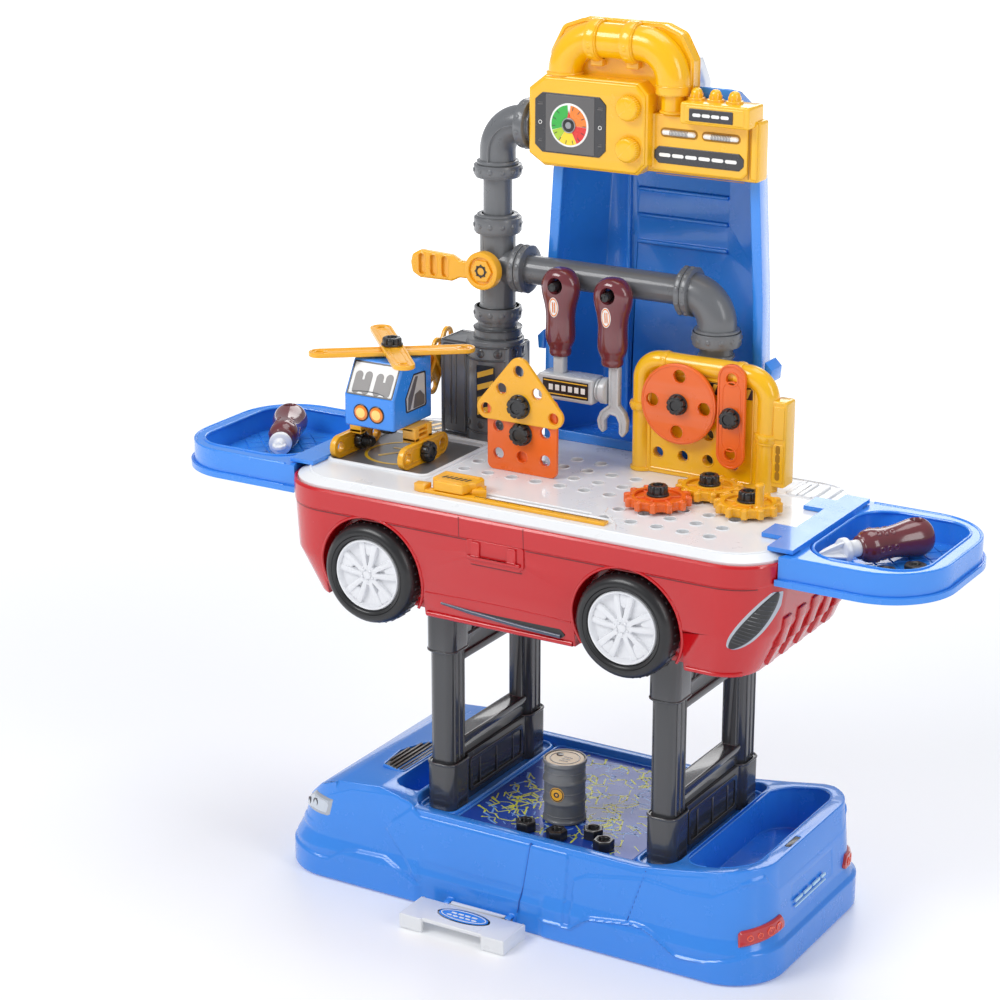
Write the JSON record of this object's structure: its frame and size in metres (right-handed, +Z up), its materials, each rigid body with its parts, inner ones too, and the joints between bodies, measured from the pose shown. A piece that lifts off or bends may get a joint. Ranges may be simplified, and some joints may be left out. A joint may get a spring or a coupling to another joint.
{
  "type": "toy car tool workbench",
  "caption": "Toy car opened into a standing tool bench with back wall, play plumbing, gears, side trays, hand tools and kit models.",
  "frame": {"origin": "on the floor under the middle of the base, at the crossing of its stiffening ribs", "axes": "+X along the car towards its tail, +Y towards the back wall, +Z up"},
  "size_m": [0.712, 0.345, 0.7335],
  "materials": {
    "blue_plastic": "glossy bright blue",
    "red_plastic": "glossy red",
    "white_plastic": "satin white",
    "yellow_plastic": "glossy yellow",
    "kit_yellow": "satin orange-yellow",
    "kit_orange": "satin orange",
    "grey_pipe": "satin mid grey",
    "dark_grey": "glossy dark grey",
    "black_plastic": "satin black",
    "maroon_plastic": "glossy maroon",
    "tool_grey": "satin light grey",
    "tyre": "satin black",
    "hub_white": "satin white",
    "steel": "drawn",
    "mat_print": "printed dark blue",
    "lamp_clear": "clear",
    "lamp_red": "clear red",
    "screen_dark": "satin near black",
    "drum_grey": "satin grey"
  },
  "bodies": {
    "bench": {"base_shell": "blue_plastic", "back_panel": "blue_plastic", "tub_shell": "red_plastic", "table_top": "white_plastic", "carry_handle": "white_plastic", "console_housing": "yellow_plastic", "pegboard": "yellow_plastic", "house_triangle": "kit_yellow", "ruler": "kit_yellow", "house_square": "kit_orange", "link_strip": "kit_orange", "house_bracket": "kit_orange", "pipe_column": "grey_pipe", "pipe_crossbar": "grey_pipe", "panel_bracket": "grey_pipe", "left_leg_frame": "dark_grey", "right_leg_frame": "dark_grey", "leg_sockets": "dark_grey", "pipe_base": "dark_grey", "kit_bolts": "black_plastic", "tool_pegs": "black_plastic", "tub_grilles": "black_plastic", "base_mat": "mat_print", "headlamps": "lamp_clear", "tail_lamps": "lamp_red", "console_labels": "screen_dark"},
    "latch": {"latch_flap": "white_plastic"},
    "front_wheelset": {"front_tyres": "tyre", "front_hubs": "hub_white", "front_axle": "steel"},
    "rear_wheelset": {"rear_tyres": "tyre", "rear_hubs": "hub_white", "rear_axle": "steel"},
    "upper_knob": {"knob_upper": "yellow_plastic"},
    "lower_knob": {"knob_lower": "yellow_plastic"},
    "valve": {"valve_handle": "kit_yellow"},
    "disc": {"peg_disc": "kit_orange"},
    "slider": {"caliper_slider": "kit_yellow"},
    "crank_gear": {"gear_crank": "kit_yellow"},
    "idler_gear": {"gear_idler": "kit_yellow"},
    "orange_gear": {"gear_orange": "kit_orange"},
    "helicopter": {"heli_cabin": "blue_plastic", "heli_skids": "kit_yellow", "heli_tail_boom": "kit_yellow", "heli_bolts": "black_plastic"},
    "main_rotor": {"heli_main_rotor": "kit_yellow"},
    "tail_rotor": {"heli_tail_rotor": "kit_yellow"},
    "hammer": {"hammer_handle": "maroon_plastic", "hammer_head": "tool_grey"},
    "wrench": {"wrench_handle": "maroon_plastic", "wrench_jaw": "tool_grey"},
    "left_tray": {"left_tray": "blue_plastic"},
    "right_tray": {"right_tray": "blue_plastic"},
    "left_driver": {"left_driver_handle": "maroon_plastic", "left_driver_bit": "tool_grey"},
    "right_driver": {"right_driver_handle": "maroon_plastic", "right_driver_bit": "tool_grey"},
    "loose_tray_nuts": {"tray_nuts": "black_plastic"},
    "loose_drum": {"drum": "drum_grey"},
    "loose_base_nuts": {"base_nuts": "black_plastic"}
  },
  "joints": [
    {"name": "latch_hinge", "type": "hinge", "parent": "bench", "child": "latch", "pos_m": [-0.024, -0.116, 0.009], "axis": [-1, 0, 0], "range_deg": [0, 75]},
    {"name": "front_wheel_spin", "type": "hinge", "parent": "bench", "child": "front_wheelset", "pos_m": [-0.134, 0, 0.289], "axis": [0, 1, 0], "continuous": true},
    {"name": "rear_wheel_spin", "type": "hinge", "parent": "bench", "child": "rear_wheelset", "pos_m": [0.106, 0, 0.289], "axis": [0, 1, 0], "continuous": true},
    {"name": "upper_knob_turn", "type": "hinge", "parent": "bench", "child": "upper_knob", "pos_m": [0.011, 0.07, 0.665], "axis": [0, 1, 0], "range_deg": [-135, 135]},
    {"name": "lower_knob_turn", "type": "hinge", "parent": "bench", "child": "lower_knob", "pos_m": [0.011, 0.07, 0.631], "axis": [0, 1, 0], "range_deg": [-135, 135]},
    {"name": "valve_turn", "type": "hinge", "parent": "bench", "child": "valve", "pos_m": [-0.124, 0.06, 0.5145], "axis": [0, 1, 0], "range_deg": [0, 90]},
    {"name": "disc_spin", "type": "hinge", "parent": "bench", "child": "disc", "pos_m": [0.07, 0.051, 0.427], "axis": [0, 1, 0], "continuous": true},
    {"name": "slider_travel", "type": "slide", "parent": "bench", "child": "slider", "axis": [1, 0, 0], "range_m": [0, 0.1]},
    {"name": "crank_gear_spin", "type": "hinge", "parent": "bench", "child": "crank_gear", "pos_m": [0.1586, 0.0027, 0.367], "axis": [0, 0, 1], "continuous": true},
    {"name": "idler_gear_spin", "type": "hinge", "parent": "bench", "child": "idler_gear", "pos_m": [0.1122, 0.0259, 0.367], "axis": [0, 0, 1], "continuous": true},
    {"name": "orange_gear_spin", "type": "hinge", "parent": "bench", "child": "orange_gear", "pos_m": [0.089, -0.0205, 0.367], "axis": [0, 0, 1], "continuous": true},
    {"name": "helicopter_lift", "type": "slide", "parent": "bench", "child": "helicopter", "axis": [0, 0, 1], "range_m": [0, 0.025]},
    {"name": "main_rotor_spin", "type": "hinge", "parent": "helicopter", "child": "main_rotor", "pos_m": [-0.175, -0.006, 0.455], "axis": [0, 0, 1], "continuous": true},
    {"name": "tail_rotor_spin", "type": "hinge", "parent": "helicopter", "child": "tail_rotor", "pos_m": [-0.183, 0.085, 0.421], "axis": [1, 0, 0], "continuous": true},
    {"name": "hammer_pull", "type": "slide", "parent": "bench", "child": "hammer", "axis": [0, -1, 0], "range_m": [0, 0.03]},
    {"name": "wrench_pull", "type": "slide", "parent": "bench", "child": "wrench", "axis": [0, -1, 0], "range_m": [0, 0.03]},
    {"name": "left_tray_lift", "type": "slide", "parent": "bench", "child": "left_tray", "axis": [0, 0, 1], "range_m": [0, 0.04]},
    {"name": "right_tray_lift", "type": "slide", "parent": "bench", "child": "right_tray", "axis": [0, 0, 1], "range_m": [0, 0.04]},
    {"name": "left_driver_lift", "type": "slide", "parent": "left_tray", "child": "left_driver", "axis": [0, 0, 1], "range_m": [0, 0.05]},
    {"name": "right_driver_lift", "type": "slide", "parent": "right_tray", "child": "right_driver", "axis": [0, 0, 1], "range_m": [0, 0.05]},
    {"name": "tray_nuts_lift", "type": "slide", "parent": "right_tray", "child": "loose_tray_nuts", "axis": [0, 0, 1], "range_m": [0, 0.03]},
    {"name": "drum_lift", "type": "slide", "parent": "bench", "child": "loose_drum", "axis": [0, 0, 1], "range_m": [0, 0.06]},
    {"name": "base_nuts_lift", "type": "slide", "parent": "bench", "child": "loose_base_nuts", "axis": [0, 0, 1], "range_m": [0, 0.03]}
  ],
  "couplings": [
    {"joint": "idler_gear_spin", "follows": "crank_gear_spin", "ratio": -1},
    {"joint": "orange_gear_spin", "follows": "crank_gear_spin", "ratio": 1}
  ]
}
